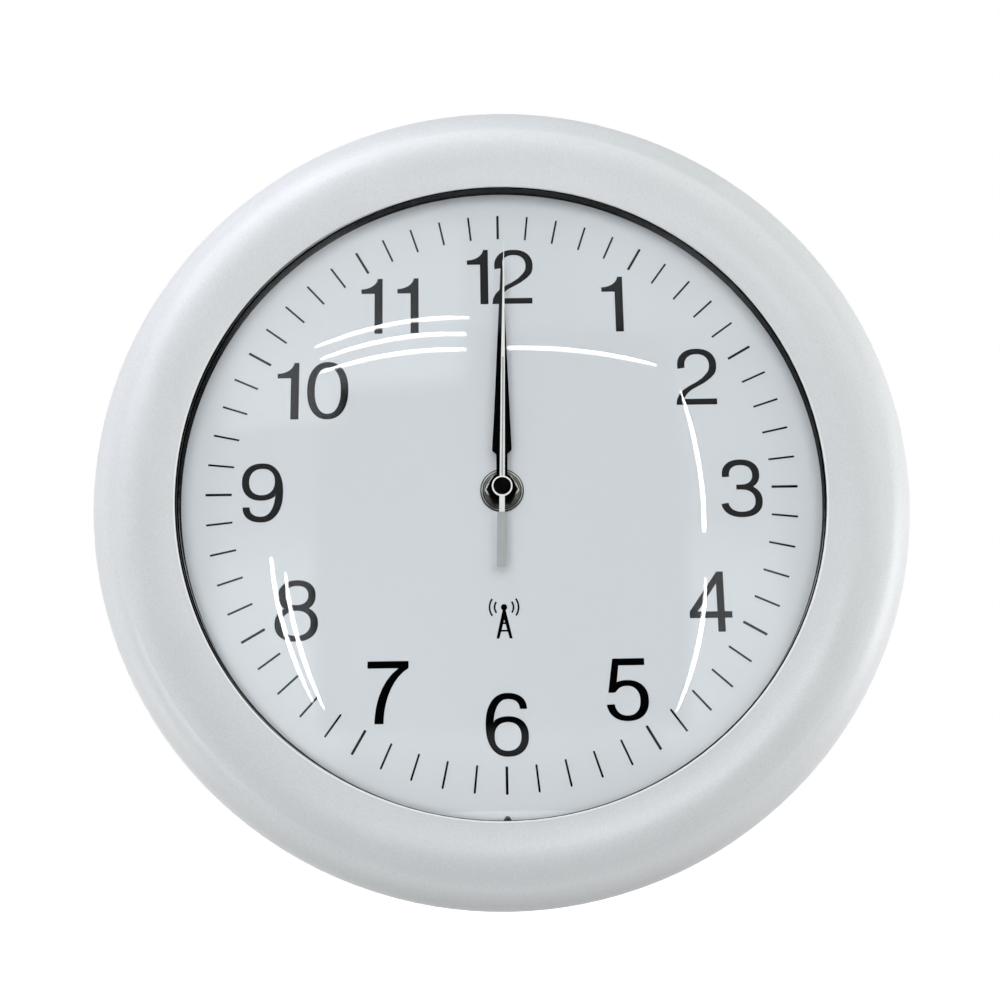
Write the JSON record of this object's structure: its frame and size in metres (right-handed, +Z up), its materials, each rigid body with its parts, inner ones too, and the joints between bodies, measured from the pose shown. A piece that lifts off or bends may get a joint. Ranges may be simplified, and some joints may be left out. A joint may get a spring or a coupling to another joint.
{
  "type": "radio-controlled wall clock",
  "caption": "Round analogue wall clock with a convex silver frame, domed glass, plain numeral dial, three hands and a radio-controlled movement behind the dial.",
  "frame": {"origin": "on the axis of the hands, in the plane of the wall that the rear edge of the frame rests on", "axes": "+Z up, +X to the right seen from the front, +Y into the wall, so the dial faces -Y"},
  "size_m": [0.3, 0.0487, 0.3],
  "materials": {
    "silver_paint": "satin silver lacquer with a fine grain on moulded plastic",
    "clear_glass": "clear domed glass, polished",
    "black_rubber": "matte black rubber",
    "black_plastic": "black moulded plastic, satin",
    "dial_white": "pale cool grey-white printed sheet, matte",
    "dial_ink": "black printing ink",
    "back_plastic": "black moulded plastic, fine texture",
    "zinc_steel": "bright zinc plated",
    "washer_steel": "turned steel, satin",
    "dark_nut": "black oxide on brass",
    "movement_plastic": "black moulded plastic",
    "board_green": "green solder mask",
    "chip_black": "moulded epoxy",
    "ferrite": "sintered ferrite, matte",
    "copper_winding": "enamelled copper wire",
    "soft_iron": "stamped soft iron",
    "nickel_contact": "nickel plated spring steel",
    "second_silver": "satin silver",
    "hand_black": "semi-gloss black paint",
    "gear_plastic": "natural acetal",
    "bush_brass": "brass, blackened",
    "battery_sleeve": "printed plastic sleeve with one metallic band, no wording",
    "button_grey": "grey moulded plastic",
    "button_red": "red moulded plastic"
  },
  "bodies": {
    "case": {"rim": "silver_paint", "lens": "clear_glass", "lens_gasket": "black_rubber", "spacer_ring": "black_plastic", "dial": "dial_white", "minute_marks": "dial_ink", "numerals": "dial_ink", "radio_symbol": "dial_ink", "back_plate": "back_plastic", "back_screws": "zinc_steel", "rubber_washer": "black_rubber", "dial_washer": "washer_steel", "hex_nut": "dark_nut", "movement_base": "movement_plastic", "movement_cover": "movement_plastic", "cover_screws": "zinc_steel", "train_bridge": "gear_plastic", "bridge_screws": "zinc_steel", "circuit_board": "board_green", "board_screws": "zinc_steel", "controller_chip": "chip_black", "crystal_can": "zinc_steel", "push_switches": "chip_black", "antenna_rod": "ferrite", "antenna_coil": "copper_winding", "seconds_stator": "soft_iron", "seconds_core": "soft_iron", "seconds_coil": "copper_winding", "minutes_stator": "soft_iron", "minutes_core": "soft_iron", "minutes_coil": "copper_winding", "plus_contact": "nickel_contact", "minus_contact": "nickel_contact", "hanger": "zinc_steel", "hanger_screws": "zinc_steel"},
    "seconds": {"second_hand": "second_silver", "second_cap": "hand_black", "seconds_wheel": "gear_plastic"},
    "seconds_idler": {"seconds_idler": "gear_plastic"},
    "seconds_rotor": {"seconds_rotor": "gear_plastic"},
    "minutes": {"minute_hand": "hand_black", "minute_bush": "bush_brass", "minute_wheel": "gear_plastic"},
    "minutes_idler_slow": {"minutes_idler_slow": "gear_plastic"},
    "minutes_idler_fast": {"minutes_idler_fast": "gear_plastic"},
    "minutes_rotor": {"minutes_rotor": "gear_plastic"},
    "motion": {"motion_wheel": "gear_plastic"},
    "hours": {"hour_hand": "hand_black", "hour_bush": "bush_brass", "hour_wheel": "gear_plastic"},
    "battery": {"battery_cell": "battery_sleeve", "battery_terminal": "nickel_contact"},
    "set_button": {"set_button": "button_grey"},
    "receive_button": {"receive_button": "button_grey"},
    "reset_button": {"reset_button": "button_red"}
  },
  "joints": [
    {"name": "second_spin", "type": "hinge", "parent": "case", "child": "seconds", "pos_m": [0, 0, 0], "axis": [0, 1, 0], "continuous": true},
    {"name": "minute_spin", "type": "hinge", "parent": "case", "child": "minutes", "pos_m": [0, 0, 0], "axis": [0, 1, 0], "continuous": true},
    {"name": "seconds_idler_spin", "type": "hinge", "parent": "case", "child": "seconds_idler", "pos_m": [-0.01061, 0, 0.00613], "axis": [0, 1, 0], "continuous": true},
    {"name": "seconds_rotor_spin", "type": "hinge", "parent": "case", "child": "seconds_rotor", "pos_m": [-0.01781, 0, 0.00613], "axis": [0, 1, 0], "continuous": true},
    {"name": "minutes_idler_slow_spin", "type": "hinge", "parent": "case", "child": "minutes_idler_slow", "pos_m": [0.01151, 0, 0.00419], "axis": [0, 1, 0], "continuous": true},
    {"name": "minutes_idler_fast_spin", "type": "hinge", "parent": "case", "child": "minutes_idler_fast", "pos_m": [0.01991, 0, 0.00419], "axis": [0, 1, 0], "continuous": true},
    {"name": "minutes_rotor_spin", "type": "hinge", "parent": "case", "child": "minutes_rotor", "pos_m": [0.02615, 0, 0.00059], "axis": [0, 1, 0], "continuous": true},
    {"name": "motion_spin", "type": "hinge", "parent": "case", "child": "motion", "pos_m": [0, 0, -0.012], "axis": [0, 1, 0], "continuous": true},
    {"name": "hour_spin", "type": "hinge", "parent": "case", "child": "hours", "pos_m": [0, 0, 0], "axis": [0, 1, 0], "continuous": true},
    {"name": "battery_slide", "type": "slide", "parent": "case", "child": "battery", "axis": [0, 1, 0], "range_m": [0, 0.018]},
    {"name": "set_button_press", "type": "slide", "parent": "case", "child": "set_button", "axis": [0, -1, 0], "range_m": [0, 0.0009], "stiffness_N_per_m": 400},
    {"name": "receive_button_press", "type": "slide", "parent": "case", "child": "receive_button", "axis": [0, -1, 0], "range_m": [0, 0.0009], "stiffness_N_per_m": 400},
    {"name": "reset_button_press", "type": "slide", "parent": "case", "child": "reset_button", "axis": [0, -1, 0], "range_m": [0, 0.0009], "stiffness_N_per_m": 400}
  ],
  "couplings": [
    {"joint": "seconds_idler_spin", "follows": "second_spin", "ratio": -6},
    {"joint": "seconds_rotor_spin", "follows": "second_spin", "ratio": 30},
    {"joint": "minutes_idler_slow_spin", "follows": "minute_spin", "ratio": -6},
    {"joint": "minutes_idler_fast_spin", "follows": "minute_spin", "ratio": 36},
    {"joint": "minutes_rotor_spin", "follows": "minute_spin", "ratio": -180},
    {"joint": "motion_spin", "follows": "minute_spin", "ratio": -0.33333},
    {"joint": "hour_spin", "follows": "minute_spin", "ratio": 0.083333}
  ]
}
